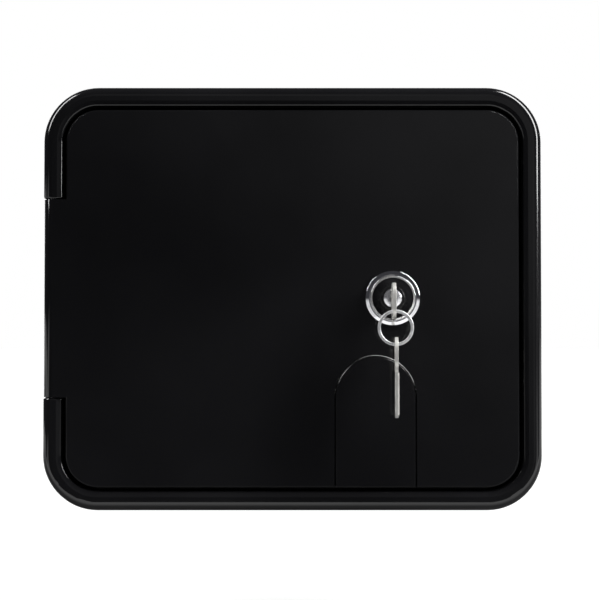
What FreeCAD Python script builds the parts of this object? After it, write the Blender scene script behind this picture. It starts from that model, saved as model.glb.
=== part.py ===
import FreeCAD, Part
import math
import os
import Sketcher
from FreeCAD import Placement, Rotation, Vector

# Flush power cord hatch for the side wall of a caravan: a moulded frame with a hinged, locking door,
# a small arched cord flap in the door's lower edge, a cam lock, and two keys on a split ring.
# World frame in millimetres: X to the right, Z up, the viewer in front at -Y. The wall is the plane
# y = 0 and the origin is the middle of the frame on that plane.
# Most bodies are drawn as seen from the front: their own Z axis points out of the wall, so a height
# of 12 in a body is y = -12 in the world. "Height" below always means that distance from the wall.

SIZES = (
    # Frame moulding
    ("frame_width", 222.0),
    ("frame_height", 188.5),
    ("frame_corner", 24.5),
    ("flange_thick", 3.0),
    ("rim_width", 8.7),
    ("rim_height", 12.0),
    ("rim_outer_round", 4.0),
    ("rim_slope_width", 2.5),
    ("rim_slope_drop", 0.8),
    ("rim_wall", 2.3),
    ("flange_reach", 22.0),
    ("collar_corner", 10.0),
    ("collar_wall", 2.0),
    ("collar_depth", 22.0),
    # Screw holes in the recessed ledge
    ("screw_hole", 4.2),
    ("screw_countersink", 7.8),
    ("screw_corner_inset", 45.0),
    # Door
    ("door_gap", 1.7),
    ("door_panel", 3.0),
    ("door_skirt_wall", 2.2),
    ("door_back_gap", 1.0),
    ("door_edge_bevel", 0.6),
    ("rib_wall", 1.6),
    ("rib_depth", 3.0),
    ("rib_column_inset", 47.0),
    ("rib_lock_distance", 36.5),
    ("rib_row_rise", 68.0),
    # Door hinge
    ("hinge_length", 88.0),
    ("hinge_end_gap", 0.3),
    ("hinge_radius", 4.15),
    ("hinge_inset", 0.25),
    ("hinge_web", 3.0),
    ("hinge_pin_diameter", 3.0),
    ("hinge_pin_grip", 5.0),
    ("hinge_block", 7.0),
    ("running_clearance", 0.05),
    ("seat_clearance", 0.02),
    # Cord flap
    ("flap_backset", 74.15),
    ("flap_drop", 43.7),
    ("flap_radius", 17.9),
    ("flap_gap", 0.45),
    ("flap_panel", 2.2),
    ("flap_depth", 4.6),
    ("flap_wall", 1.6),
    ("flap_edge_bevel", 0.5),
    ("flap_surround", 2.4),
    ("pivot_rise", 2.0),
    ("pivot_setback", 2.2),
    ("pivot_diameter", 2.0),
    ("pivot_reach", 1.6),
    ("flap_stop_width", 1.4),
    ("flap_stop_thick", 1.8),
    ("flap_stop_drop", 12.0),
    ("flap_stop_gap", 0.3),
    ("flap_open_angle", 35.0),
    ("flap_check_start", 1.0),
    # Seal on the door's back
    ("seal_width", 3.0),
    ("seal_inset", 0.2),
    ("seal_gap", 0.3),
    # Lock
    ("lock_backset", 66.5),
    ("lock_barrel_diameter", 16.0),
    ("lock_flat_depth", 0.9),
    ("lock_head_rim", 1.0),
    ("lock_head_thick", 0.7),
    ("lock_bezel_width", 3.1),
    ("lock_bezel_crest", 1.2),
    ("lock_bezel_flank", 0.7),
    ("lock_bezel_height", 2.0),
    ("lock_bezel_lip", 0.8),
    ("lock_barrel_length", 20.0),
    ("lock_hole_clearance", 0.1),
    ("lock_washer_width", 3.25),
    ("lock_washer_thick", 1.0),
    ("lock_nut_wall", 2.5),
    ("lock_nut_thick", 3.5),
    ("plug_diameter", 8.2),
    ("plug_proud", 1.3),
    ("plug_clearance", 0.1),
    ("plug_tail_width", 5.6),
    ("plug_tail_round", 7.4),
    ("wafer_count", 5.0),
    ("wafer_thick", 0.9),
    ("wafer_pitch", 2.4),
    ("wafer_first", 4.0),
    ("wafer_height", 7.4),
    ("wafer_width", 4.6),
    ("wafer_corner", 0.5),
    ("wafer_clearance", 0.1),
    ("stop_washer_diameter", 15.0),
    ("stop_washer_thick", 1.0),
    ("stack_clearance", 0.1),
    ("cam_thick", 2.0),
    ("cam_hub_width", 15.0),
    ("cam_tip_width", 11.0),
    ("cam_end_gap", 1.7),
    ("cam_screw_head", 8.0),
    ("cam_screw_thick", 2.4),
    ("cam_screw_shank", 3.0),
    ("cam_screw_depth", 4.5),
    ("cam_washer_thick", 0.6),
    ("strike_gap", 0.4),
    ("strike_thick", 4.0),
    ("strike_reach", 9.0),
    ("strike_width", 16.0),
    # Keys and ring
    ("key_thick", 1.9),
    ("key_bow_length", 15.0),
    ("key_bow_width", 16.2),
    ("key_bow_offset", 1.6),
    ("key_bow_corner", 3.6),
    ("key_blade_length", 20.0),
    ("key_blade_width", 6.0),
    ("key_tip_length", 2.6),
    ("key_slot_length", 11.4),
    ("key_slot_width", 4.5),
    ("key_end_web", 1.9),
    ("key_groove_width", 1.4),
    ("key_groove_depth", 0.5),
    ("key_cut_width", 1.4),
    ("keyway_side_clearance", 0.12),
    ("keyway_end_clearance", 0.3),
    ("keyway_tip_clearance", 0.8),
    ("key_seat_gap", 0.1),
    ("ring_radius", 7.25),
    ("ring_wire_width", 1.4),
    ("ring_wire_thick", 0.7),
    ("ring_pitch", 0.8),
    ("ring_turns", 1.9),
    ("ring_pivot_clearance", 1.25),
    ("ring_lean", 0.6),
    ("spare_lean", 0.9),
    ("spare_shift", 0.65),
)

SHEET = "Sizes"


class Size:
    """A length with its present number and the spreadsheet expression that drives it."""

    def __init__(self, value, text):
        self.value = value
        self.text = text

    def __add__(self, other):
        other = as_size(other)
        return Size(self.value + other.value, "(%s + %s)" % (self.text, other.text))

    def __sub__(self, other):
        other = as_size(other)
        return Size(self.value - other.value, "(%s - %s)" % (self.text, other.text))

    def __mul__(self, other):
        other = as_size(other)
        return Size(self.value * other.value, "(%s * %s)" % (self.text, other.text))

    def __truediv__(self, other):
        other = as_size(other)
        return Size(self.value / other.value, "(%s / %s)" % (self.text, other.text))

    def __radd__(self, other):
        return as_size(other) + self

    def __rsub__(self, other):
        return as_size(other) - self

    def __rmul__(self, other):
        return as_size(other) * self

    def __neg__(self):
        return Size(-self.value, "(0 - %s)" % self.text)


def tangent(angle):
    return Size(math.tan(math.radians(angle.value)), "tan(%s)" % angle.text)


def cosine(angle):
    return Size(math.cos(math.radians(angle.value)), "cos(%s)" % angle.text)


def as_size(number):
    if isinstance(number, Size):
        return number
    return Size(float(number), "(%.6f)" % number)


class Book:
    """The spreadsheet's cells by name."""


doc = FreeCAD.newDocument("PowerCordHatch")
sheet = doc.addObject("Spreadsheet::Sheet", SHEET)
D = Book()
for row, (name, number) in enumerate(SIZES, start=1):
    sheet.set("A%d" % row, name)
    sheet.set("B%d" % row, "%g" % number)
    sheet.setAlias("B%d" % row, name)
doc.recompute()
for name, number in SIZES:
    setattr(D, name, Size(float(sheet.get(name)), "%s.%s" % (SHEET, name)))


# Bodies, sketches and features

FROM_FRONT = Rotation(Vector(1, 0, 0), 90)


def new_body(label, x=0, y=0, z=0, turn=FROM_FRONT):
    body = doc.addObject("PartDesign::Body", label)
    body.Label = label
    at = [as_size(x), as_size(y), as_size(z)]
    body.Placement = Placement(Vector(at[0].value, at[1].value, at[2].value), turn)
    for axis, length in zip("xyz", at):
        body.setExpression("Placement.Base." + axis, length.text)
    return body


def new_sketch(body, name, plane="XY_Plane", height=0):
    sketch = body.newObject("Sketcher::SketchObject", name)
    support = [item for item in body.Origin.OriginFeatures if item.Role == plane][0]
    sketch.AttachmentSupport = (support, [""])
    sketch.MapMode = "FlatFace"
    height = as_size(height)
    sketch.AttachmentOffset = Placement(Vector(0, 0, height.value), Rotation())
    sketch.setExpression("AttachmentOffset.Base.z", height.text)
    return sketch


def bind(sketch, kind, *references, to):
    index = sketch.addConstraint(Sketcher.Constraint(kind, *references, to.value))
    sketch.setExpression("Constraints[%d]" % index, to.text)


def pin_point(sketch, geometry, end, x, y):
    bind(sketch, "DistanceX", -1, 1, geometry, end, to=x)
    bind(sketch, "DistanceY", -1, 1, geometry, end, to=y)


def add_polygon(sketch, points):
    """A closed loop of straight lines through points that are each held in X and Y."""
    points = [(as_size(x), as_size(y)) for x, y in points]
    count = len(points)
    first = sketch.GeometryCount
    for index in range(count):
        start = points[index]
        end = points[(index + 1) % count]
        sketch.addGeometry(Part.LineSegment(Vector(start[0].value, start[1].value, 0),
                                            Vector(end[0].value, end[1].value, 0)), False)
    for index in range(count):
        following = first + (index + 1) % count
        sketch.addConstraint(Sketcher.Constraint("Coincident", first + index, 2, following, 1))
    for index in range(count):
        pin_point(sketch, first + index, 1, *points[index])


def add_circle(sketch, x, y, radius):
    x, y, radius = as_size(x), as_size(y), as_size(radius)
    centre = Vector(x.value, y.value, 0)
    index = sketch.addGeometry(Part.Circle(centre, Vector(0, 0, 1), radius.value), False)
    bind(sketch, "Radius", index, to=radius)
    pin_point(sketch, index, 3, x, y)


def add_rectangle(sketch, left, right, bottom, top, corner=None):
    left, right, bottom, top = as_size(left), as_size(right), as_size(bottom), as_size(top)
    if corner is None:
        add_polygon(sketch, [(left, bottom), (right, bottom), (right, top), (left, top)])
        return
    corner = as_size(corner)
    first = sketch.GeometryCount
    x0, x1, y0, y1, r = left.value, right.value, bottom.value, top.value, corner.value
    quarter = 1.5707963267948966
    lines = (((x0 + r, y0), (x1 - r, y0)), ((x1, y0 + r), (x1, y1 - r)),
             ((x1 - r, y1), (x0 + r, y1)), ((x0, y1 - r), (x0, y0 + r)))
    arcs = (((x1 - r, y0 + r), 3), ((x1 - r, y1 - r), 0), ((x0 + r, y1 - r), 1), ((x0 + r, y0 + r), 2))
    for (start, end), (centre, turn) in zip(lines, arcs):
        sketch.addGeometry(Part.LineSegment(Vector(*start, 0), Vector(*end, 0)), False)
        circle = Part.Circle(Vector(*centre, 0), Vector(0, 0, 1), r)
        sketch.addGeometry(Part.ArcOfCircle(circle, turn * quarter, (turn + 1) * quarter), False)
    for side in range(4):
        line = first + 2 * side
        arc = line + 1
        next_line = first + (2 * side + 2) % 8
        sketch.addConstraint(Sketcher.Constraint("Tangent", line, 2, arc, 1))
        sketch.addConstraint(Sketcher.Constraint("Tangent", arc, 2, next_line, 1))
        bind(sketch, "Radius", arc, to=corner)
    bind(sketch, "DistanceY", -1, 1, first, 1, to=bottom)
    bind(sketch, "DistanceX", -1, 1, first + 2, 1, to=right)
    bind(sketch, "DistanceY", -1, 1, first + 4, 1, to=top)
    bind(sketch, "DistanceX", -1, 1, first + 6, 1, to=left)
    for side, kind in enumerate(("Horizontal", "Vertical", "Horizontal", "Vertical")):
        sketch.addConstraint(Sketcher.Constraint(kind, first + 2 * side))


def add_arch(sketch, centre, spring, radius, bottom):
    """A round-topped doorway: two straight sides, a floor, and half a circle above them."""
    centre, spring, radius, bottom = as_size(centre), as_size(spring), as_size(radius), as_size(bottom)
    first = sketch.GeometryCount
    left = centre - radius
    right = centre + radius
    corners = ((left, bottom), (right, bottom), (right, spring), (left, spring))
    flat = [Vector(x.value, y.value, 0) for x, y in corners]
    sketch.addGeometry(Part.LineSegment(flat[0], flat[1]), False)
    sketch.addGeometry(Part.LineSegment(flat[1], flat[2]), False)
    circle = Part.Circle(Vector(centre.value, spring.value, 0), Vector(0, 0, 1), radius.value)
    sketch.addGeometry(Part.ArcOfCircle(circle, 0, 3.141592653589793), False)
    sketch.addGeometry(Part.LineSegment(flat[3], flat[0]), False)
    for index in range(4):
        following = first + (index + 1) % 4
        sketch.addConstraint(Sketcher.Constraint("Coincident", first + index, 2, following, 1))
    pin_point(sketch, first, 1, *corners[0])
    pin_point(sketch, first + 1, 1, *corners[1])
    pin_point(sketch, first + 2, 1, *corners[2])
    pin_point(sketch, first + 2, 2, *corners[3])
    bind(sketch, "DistanceY", -1, 1, first + 2, 3, to=spring)


def volume_of(body):
    return body.Shape.Volume if body.Shape and not body.Shape.isNull() else 0.0


def settle(body, feature, before, grows):
    """Recompute, and stop if the feature did not add or take material as it should."""
    doc.recompute()
    change = volume_of(body) - before
    if (grows and change <= 0) or (not grows and change >= 0):
        raise RuntimeError("%s of %s changed the volume by %.3f" % (feature.Name, body.Label, change))
    return feature


def extrude(kind, body, sketch, length, reverse, both_ways):
    before = volume_of(body)
    feature = body.newObject("PartDesign::" + kind, sketch.Name.replace("Sketch", kind))
    feature.Profile = sketch
    feature.Reversed = reverse
    feature.Midplane = both_ways
    length = as_size(length)
    feature.Length = length.value
    feature.setExpression("Length", length.text)
    return settle(body, feature, before, kind == "Pad")


def pad(body, sketch, length, reverse=False, both_ways=False):
    return extrude("Pad", body, sketch, length, reverse, both_ways)


def pocket(body, sketch, length, reverse=False, both_ways=False):
    return extrude("Pocket", body, sketch, length, reverse, both_ways)


def spin(kind, body, sketch):
    """A full turn of a sketch about its own vertical axis."""
    before = volume_of(body)
    feature = body.newObject("PartDesign::" + kind, sketch.Name.replace("Sketch", kind))
    feature.Profile = sketch
    feature.ReferenceAxis = (sketch, ["V_Axis"])
    feature.Angle = 360
    return settle(body, feature, before, kind == "Revolution")


def soften(kind, body, name, size, wanted, drop=None):
    """Fillet or Chamfer on the edges that the test picks, sized from the sheet; drop makes it a slope."""
    doc.recompute()
    base = body.Tip
    names = ["Edge%d" % n for n, edge in enumerate(base.Shape.Edges, start=1) if wanted(edge)]
    if not names:
        raise RuntimeError("no edge for %s of %s" % (name, body.Label))
    feature = body.newObject("PartDesign::" + kind, name)
    feature.Base = (base, names)
    size = as_size(size)
    key = "Radius" if kind == "Fillet" else "Size"
    setattr(feature, key, size.value)
    feature.setExpression(key, size.text)
    if drop is not None:
        feature.ChamferType = "Two distances"
        feature.Size2 = drop.value
        feature.setExpression("Size2", drop.text)
    doc.recompute()
    return feature


def repeat(body, original, axis, length, count, name):
    """A straight row of copies of one feature along an axis of the body's origin."""
    feature = body.newObject("PartDesign::LinearPattern", name)
    feature.Originals = [original]
    direction = [item for item in body.Origin.OriginFeatures if item.Role == axis][0]
    feature.Direction = (direction, [""])
    length = as_size(length)
    count = as_size(count)
    feature.Length = length.value
    feature.setExpression("Length", length.text)
    feature.Occurrences = int(count.value)
    feature.setExpression("Occurrences", count.text)
    body.Tip = feature
    doc.recompute()
    return feature


def at_height(edge, height):
    box = edge.BoundBox
    return abs(box.ZMin - height.value) < 0.001 and abs(box.ZMax - height.value) < 0.001


# Sizes that several pieces share

half_width = D.frame_width / 2
half_height = D.frame_height / 2
face = D.rim_height
door_half_width = half_width - D.rim_width - D.door_gap
door_half_height = half_height - D.rim_width - D.door_gap
door_corner = D.frame_corner - D.rim_width - D.door_gap
door_back = D.flange_thick + D.door_back_gap
panel_back = face - D.door_panel
collar_outer_x = half_width - D.flange_reach
collar_outer_y = half_height - D.flange_reach
collar_half_width = collar_outer_x - D.collar_wall
collar_half_height = collar_outer_y - D.collar_wall
hinge_axis = D.hinge_inset + D.hinge_radius - half_width
hinge_height = face - D.hinge_radius
flap_centre = half_width - D.flap_backset
flap_spring = -D.flap_drop
flap_opening = D.flap_radius + D.flap_gap
pivot_level = flap_spring + D.pivot_rise
pivot_height = face - D.pivot_setback
lock_centre = half_width - D.lock_backset
barrel_radius = D.lock_barrel_diameter / 2
barrel_flat = barrel_radius - D.lock_flat_depth
head_radius = barrel_radius + D.lock_head_rim
barrel_end = face - D.lock_barrel_length
stop_front = barrel_end - D.stack_clearance
cam_front = stop_front - D.stop_washer_thick - D.stack_clearance
cam_back = cam_front - D.cam_thick
key_seat = face + D.lock_bezel_height + D.key_seat_gap


# Frame

def make_frame():
    body = new_body("frame")
    outline = new_sketch(body, "FlangeSketch")
    add_rectangle(outline, -half_width, half_width, -half_height, half_height, D.frame_corner)
    add_rectangle(outline, -collar_half_width, collar_half_width, -collar_half_height,
                  collar_half_height, D.collar_corner - D.collar_wall)
    pad(body, outline, D.flange_thick)

    inner_x = half_width - D.rim_width
    inner_y = half_height - D.rim_width
    rim = new_sketch(body, "RimSketch")
    add_rectangle(rim, -half_width, half_width, -half_height, half_height, D.frame_corner)
    add_rectangle(rim, -inner_x, inner_x, -inner_y, inner_y, D.frame_corner - D.rim_width)
    pad(body, rim, D.rim_height)
    soften("Fillet", body, "RimOuterRound", D.rim_outer_round,
           lambda edge: at_height(edge, face) and outside(edge, inner_x, inner_y))
    # The rim's inner part falls gently towards the door, all round.
    soften("Chamfer", body, "RimSlope", D.rim_slope_width,
           lambda edge: at_height(edge, face) and not outside(edge, inner_x, inner_y)
           and reaches(edge, inner_x, inner_y), D.rim_slope_drop)

    # The rim is hollow from behind, an even wall all round.
    channel = new_sketch(body, "ChannelSketch")
    wide = half_width - D.rim_wall
    tall = half_height - D.rim_wall
    add_rectangle(channel, -wide, wide, -tall, tall, D.frame_corner - D.rim_wall)
    narrow = inner_x + D.rim_wall
    short = inner_y + D.rim_wall
    add_rectangle(channel, -narrow, narrow, -short, short, D.frame_corner - D.rim_width + D.rim_wall)
    pocket(body, channel, D.rim_height - D.rim_wall, reverse=True)

    # Solid blocks close the channel at both ends of the hinge and carry its pin.
    block_top = D.hinge_length / 2 + D.hinge_end_gap + D.hinge_block
    block = new_sketch(body, "HingeBlockSketch")
    add_rectangle(block, -half_width + 1, -inner_x - 1, -block_top, block_top)
    pad(body, block, D.rim_height - D.rim_wall)

    notch_top = D.hinge_length / 2 + D.hinge_end_gap
    notch = new_sketch(body, "HingeNotchSketch", height=D.flange_thick)
    add_rectangle(notch, -half_width - 5, -inner_x + 0.5, -notch_top, notch_top)
    pocket(body, notch, D.rim_height, reverse=True)

    bore = new_sketch(body, "HingeBoreSketch", "XZ_Plane")
    add_circle(bore, hinge_axis, hinge_height, D.hinge_pin_diameter / 2 + D.seat_clearance)
    pocket(body, bore, 2 * notch_top + 2 * D.hinge_pin_grip, both_ways=True)

    collar = new_sketch(body, "CollarSketch")
    add_rectangle(collar, -collar_outer_x, collar_outer_x, -collar_outer_y, collar_outer_y,
                  D.collar_corner)
    add_rectangle(collar, -collar_half_width, collar_half_width, -collar_half_height,
                  collar_half_height, D.collar_corner - D.collar_wall)
    pad(body, collar, D.collar_depth, reverse=True)

    # The lug on the collar's right wall that the lock's cam turns behind.
    strike = new_sketch(body, "StrikeSketch", height=cam_front + D.strike_gap)
    add_rectangle(strike, collar_half_width - D.strike_reach, collar_half_width + D.collar_wall / 2,
                  -D.strike_width / 2, D.strike_width / 2)
    pad(body, strike, D.strike_thick)

    # The screws stand on the middle line of the ledge between the rim and the collar.
    ledge_middle = (D.rim_width + D.flange_reach) / 2
    row_x = half_width - D.screw_corner_inset
    row_y = half_height - ledge_middle
    side_x = half_width - ledge_middle
    places = new_sketch(body, "ScrewSketch", height=D.flange_thick)
    for x, y in ((-row_x, -row_y), (row_x, -row_y), (row_x, row_y), (-row_x, row_y),
                 (-side_x, 0), (side_x, 0)):
        add_circle(places, x, y, D.screw_hole / 2)
    doc.recompute()
    before = volume_of(body)
    holes = body.newObject("PartDesign::Hole", "ScrewHoles")
    holes.Profile = places
    doc.recompute()
    holes.DepthType = "ThroughAll"
    holes.setExpression("Diameter", D.screw_hole.text)
    holes.HoleCutType = "Countersink"
    holes.HoleCutCustomValues = True
    holes.setExpression("HoleCutDiameter", D.screw_countersink.text)
    holes.HoleCutCountersinkAngle = 90
    settle(body, holes, before, False)
    return body


def outside(edge, inner_x, inner_y):
    """True for an edge of the outer outline rather than of the inner one."""
    box = edge.BoundBox
    far_x = max(abs(box.XMin), abs(box.XMax))
    far_y = max(abs(box.YMin), abs(box.YMax))
    return far_x > inner_x.value + 0.001 or far_y > inner_y.value + 0.001


def reaches(edge, inner_x, inner_y):
    box = edge.BoundBox
    far_x = max(abs(box.XMin), abs(box.XMax))
    far_y = max(abs(box.YMin), abs(box.YMax))
    return abs(far_x - inner_x.value) < 0.001 or abs(far_y - inner_y.value) < 0.001


def make_hinge_pin():
    body = new_body("hinge_pin")
    section = new_sketch(body, "PinSketch", "XZ_Plane")
    add_circle(section, hinge_axis, hinge_height, D.hinge_pin_diameter / 2)
    length = D.hinge_length + 2 * D.hinge_end_gap + 2 * D.hinge_pin_grip - 0.4
    pad(body, section, length, both_ways=True)
    return body


# Door

def make_door():
    body = new_body("door")
    outline = new_sketch(body, "DoorSketch", height=door_back)
    add_rectangle(outline, -door_half_width, door_half_width, -door_half_height, door_half_height,
                  door_corner)
    pad(body, outline, face - door_back)
    soften("Chamfer", body, "DoorEdgeBevel", D.door_edge_bevel, lambda edge: at_height(edge, face))
    hollow = new_sketch(body, "HollowSketch", height=door_back)
    inside_x = door_half_width - D.door_skirt_wall
    inside_y = door_half_height - D.door_skirt_wall
    add_rectangle(hollow, -inside_x, inside_x, -inside_y, inside_y, door_corner - D.door_skirt_wall)
    pocket(body, hollow, panel_back - door_back, reverse=True)

    # Tab that lies over the frame's left rim and turns on the hinge pin.
    web_back = face - D.hinge_web
    web = new_sketch(body, "TabWebSketch", "XZ_Plane")
    add_rectangle(web, hinge_axis, -door_half_width + D.door_skirt_wall, web_back, face)
    pad(body, web, D.hinge_length, both_ways=True)
    barrel = new_sketch(body, "TabBarrelSketch", "XZ_Plane")
    add_circle(barrel, hinge_axis, hinge_height, D.hinge_radius)
    pad(body, barrel, D.hinge_length, both_ways=True)
    bore = new_sketch(body, "TabBoreSketch", "XZ_Plane")
    add_circle(bore, hinge_axis, hinge_height, D.hinge_pin_diameter / 2 + D.running_clearance)
    pocket(body, bore, D.hinge_length + 10, both_ways=True)

    # Ribs behind the panel, a wall round the cord mouth.
    rib_back = panel_back - D.rib_depth
    seal_in_x = collar_half_width + D.seal_inset
    seal_in_y = collar_half_height + D.seal_inset
    column = new_sketch(body, "RibColumnSketch", height=rib_back)
    first = D.rib_column_inset - half_width
    last = lock_centre - D.rib_lock_distance
    add_rectangle(column, first - D.rib_wall / 2, first + D.rib_wall / 2, -seal_in_y + 1, seal_in_y - 1)
    first_column = pad(body, column, D.rib_depth + 0.5)
    repeat(body, first_column, "X_Axis", last - first, 3, "RibColumns")
    upper = new_sketch(body, "RibUpperSketch", height=rib_back)
    rise = D.rib_row_rise / 2
    add_rectangle(upper, -seal_in_x + 1, seal_in_x - 1, rise - D.rib_wall / 2, rise + D.rib_wall / 2)
    pad(body, upper, D.rib_depth + 0.5)
    lower = new_sketch(body, "RibLowerSketch", height=rib_back)
    add_rectangle(lower, -seal_in_x + 1, seal_in_x - 1, -rise - D.rib_wall / 2, -rise + D.rib_wall / 2)
    pad(body, lower, D.rib_depth + 0.5)
    surround = new_sketch(body, "SurroundSketch", height=door_back)
    add_arch(surround, flap_centre, flap_spring, flap_opening + D.flap_surround,
             -door_half_height + D.door_skirt_wall / 2)
    pad(body, surround, panel_back - door_back + 0.5)
    mouth = new_sketch(body, "MouthSketch", height=door_back - 5)
    add_arch(mouth, flap_centre, flap_spring, flap_opening, -door_half_height - 5)
    pocket(body, mouth, D.rim_height + 10, reverse=True)

    # Ledges beside the mouth that the closed flap meets.
    stop_front_height = face - D.flap_depth - D.flap_stop_gap
    for side, name in ((-1, "StopLeftSketch"), (1, "StopRightSketch")):
        inner = flap_centre + side * (flap_opening - D.flap_stop_width)
        outer = flap_centre + side * (flap_opening + D.flap_surround / 2)
        ledge = new_sketch(body, name, height=stop_front_height - D.flap_stop_thick)
        low = -door_half_height + D.door_skirt_wall + 3
        ends = (inner, outer) if side > 0 else (outer, inner)
        add_rectangle(ledge, ends[0], ends[1], low, pivot_level - D.flap_stop_drop)
        pad(body, ledge, D.flap_stop_thick)

    # Wedges above the pivots: the open flap's back edges come to rest on their sloping faces.
    flap_back = D.flap_depth - D.pivot_setback
    slope = tangent(D.flap_open_angle)
    start = D.flap_check_start
    start_height = pivot_height - flap_back / cosine(D.flap_open_angle) - start * slope
    end = start + (start_height - door_back) / slope
    for side, name in ((-1, "CheckLeftSketch"), (1, "CheckRightSketch")):
        inner = flap_centre + side * (flap_opening - D.flap_stop_width)
        wedge = new_sketch(body, name, "YZ_Plane", height=inner)
        add_polygon(wedge, [(pivot_level + start, door_back), (pivot_level + end, door_back),
                            (pivot_level + start, start_height)])
        pad(body, wedge, D.flap_stop_width + D.flap_surround / 2, reverse=side < 0)

    sockets = new_sketch(body, "PivotSocketSketch", "YZ_Plane", height=flap_centre)
    add_circle(sockets, pivot_level, pivot_height, D.pivot_diameter / 2 + D.running_clearance)
    pocket(body, sockets, 2 * (flap_opening + D.pivot_reach + 0.2), both_ways=True)

    lock_hole = new_sketch(body, "LockHoleSketch", height=panel_back - 5)
    add_circle(lock_hole, lock_centre, 0, barrel_radius + D.lock_hole_clearance)
    pocket(body, lock_hole, D.door_panel + 10, reverse=True)
    for side, name in ((-1, "LockFlatLeftSketch"), (1, "LockFlatRightSketch")):
        near = lock_centre + side * (barrel_flat + D.lock_hole_clearance)
        far = lock_centre + side * (barrel_radius + 1)
        flat = new_sketch(body, name, height=panel_back)
        ends = (near, far) if side > 0 else (far, near)
        add_rectangle(flat, ends[0], ends[1], -barrel_radius / 2 - 0.5, barrel_radius / 2 + 0.5)
        pad(body, flat, D.door_panel)
    return body


def make_door_seal():
    body = new_body("door_seal")
    section = new_sketch(body, "SealSketch", height=D.flange_thick + D.seal_gap)
    in_x = collar_half_width + D.seal_inset
    in_y = collar_half_height + D.seal_inset
    corner = D.collar_corner - D.collar_wall + D.seal_inset
    add_rectangle(section, -in_x, in_x, -in_y, in_y, corner)
    out_x = in_x + D.seal_width
    out_y = in_y + D.seal_width
    add_rectangle(section, -out_x, out_x, -out_y, out_y, corner + D.seal_width)
    pad(body, section, panel_back - D.flange_thick - D.seal_gap)
    gap = new_sketch(body, "SealGapSketch")
    reach_x = flap_opening + D.flap_surround + 0.1
    add_rectangle(gap, flap_centre - reach_x, flap_centre + reach_x, -half_height, -in_y + 10)
    pocket(body, gap, D.rim_height, reverse=True)
    return body


# Cord flap

def make_flap():
    body = new_body("cord_flap")
    back = face - D.flap_depth
    outline = new_sketch(body, "FlapSketch", height=back)
    add_arch(outline, flap_centre, flap_spring, D.flap_radius, -door_half_height)
    pad(body, outline, D.flap_depth)
    soften("Chamfer", body, "FlapEdgeBevel", D.flap_edge_bevel, lambda edge: at_height(edge, face))
    hollow = new_sketch(body, "FlapHollowSketch", height=back)
    add_arch(hollow, flap_centre, flap_spring, D.flap_radius - D.flap_wall,
             -door_half_height + D.flap_wall)
    pocket(body, hollow, D.flap_depth - D.flap_panel, reverse=True)
    pivots = new_sketch(body, "PivotSketch", "YZ_Plane", height=flap_centre)
    add_circle(pivots, pivot_level, pivot_height, D.pivot_diameter / 2)
    pad(body, pivots, 2 * (flap_opening + D.pivot_reach), both_ways=True)
    return body


# Lock, drawn about its own axis

def lock_body(label):
    return new_body(label, x=lock_centre)


def make_bezel():
    body = lock_body("lock_bezel")
    outer = head_radius + D.lock_bezel_width
    crest = head_radius + D.lock_bezel_crest
    head = head_radius + 0.05
    seat = barrel_radius + D.lock_hole_clearance
    top = face + D.lock_bezel_height
    section = new_sketch(body, "BezelSketch", "XZ_Plane")
    add_polygon(section, [(seat, face), (outer, face), (outer, face + D.lock_bezel_flank), (crest, top),
                          (head, top), (head, face + D.lock_bezel_lip), (seat, face + D.lock_bezel_lip)])
    spin("Revolution", body, section)
    return body


def make_housing():
    body = lock_body("lock_housing")
    head = head_radius
    barrel = barrel_radius
    bore = D.plug_diameter / 2 + D.plug_clearance
    lip = face + D.lock_bezel_lip
    top = lip + D.lock_head_thick
    section = new_sketch(body, "HousingSketch", "XZ_Plane")
    add_polygon(section, [(bore, barrel_end), (barrel, barrel_end), (barrel, lip), (head, lip),
                          (head, top - 0.2), (head - 0.2, top), (bore, top)])
    spin("Revolution", body, section)
    for side, name in ((-1, "FlatLeftSketch"), (1, "FlatRightSketch")):
        flat = new_sketch(body, name, height=barrel_end - 1)
        near = barrel_flat * side
        far = (barrel + 2) * side
        ends = (near, far) if side > 0 else (far, near)
        add_rectangle(flat, ends[0], ends[1], -barrel, barrel)
        pocket(body, flat, D.lock_barrel_length + 1, reverse=True)
    return body


def make_lock_washer():
    body = lock_body("lock_washer")
    section = new_sketch(body, "WasherSketch", height=panel_back)
    add_circle(section, 0, 0, barrel_radius + D.lock_washer_width)
    add_circle(section, 0, 0, barrel_radius + D.lock_hole_clearance)
    pad(body, section, D.lock_washer_thick, reverse=True)
    return body


def make_lock_nut():
    body = lock_body("lock_nut")
    top = panel_back - D.lock_washer_thick
    section = new_sketch(body, "NutSketch", height=top)
    side = barrel_radius + D.lock_nut_wall
    corner = side * 1.15470054
    add_polygon(section, [(corner, 0), (corner / 2, side), (-corner / 2, side), (-corner, 0),
                          (-corner / 2, -side), (corner / 2, -side)])
    add_circle(section, 0, 0, barrel_radius + D.seat_clearance)
    pad(body, section, D.lock_nut_thick, reverse=True)
    return body


def keyway_half_width():
    return D.key_thick / 2 + D.keyway_side_clearance


def keyway_half_height():
    return D.key_blade_width / 2 + D.keyway_end_clearance


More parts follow.
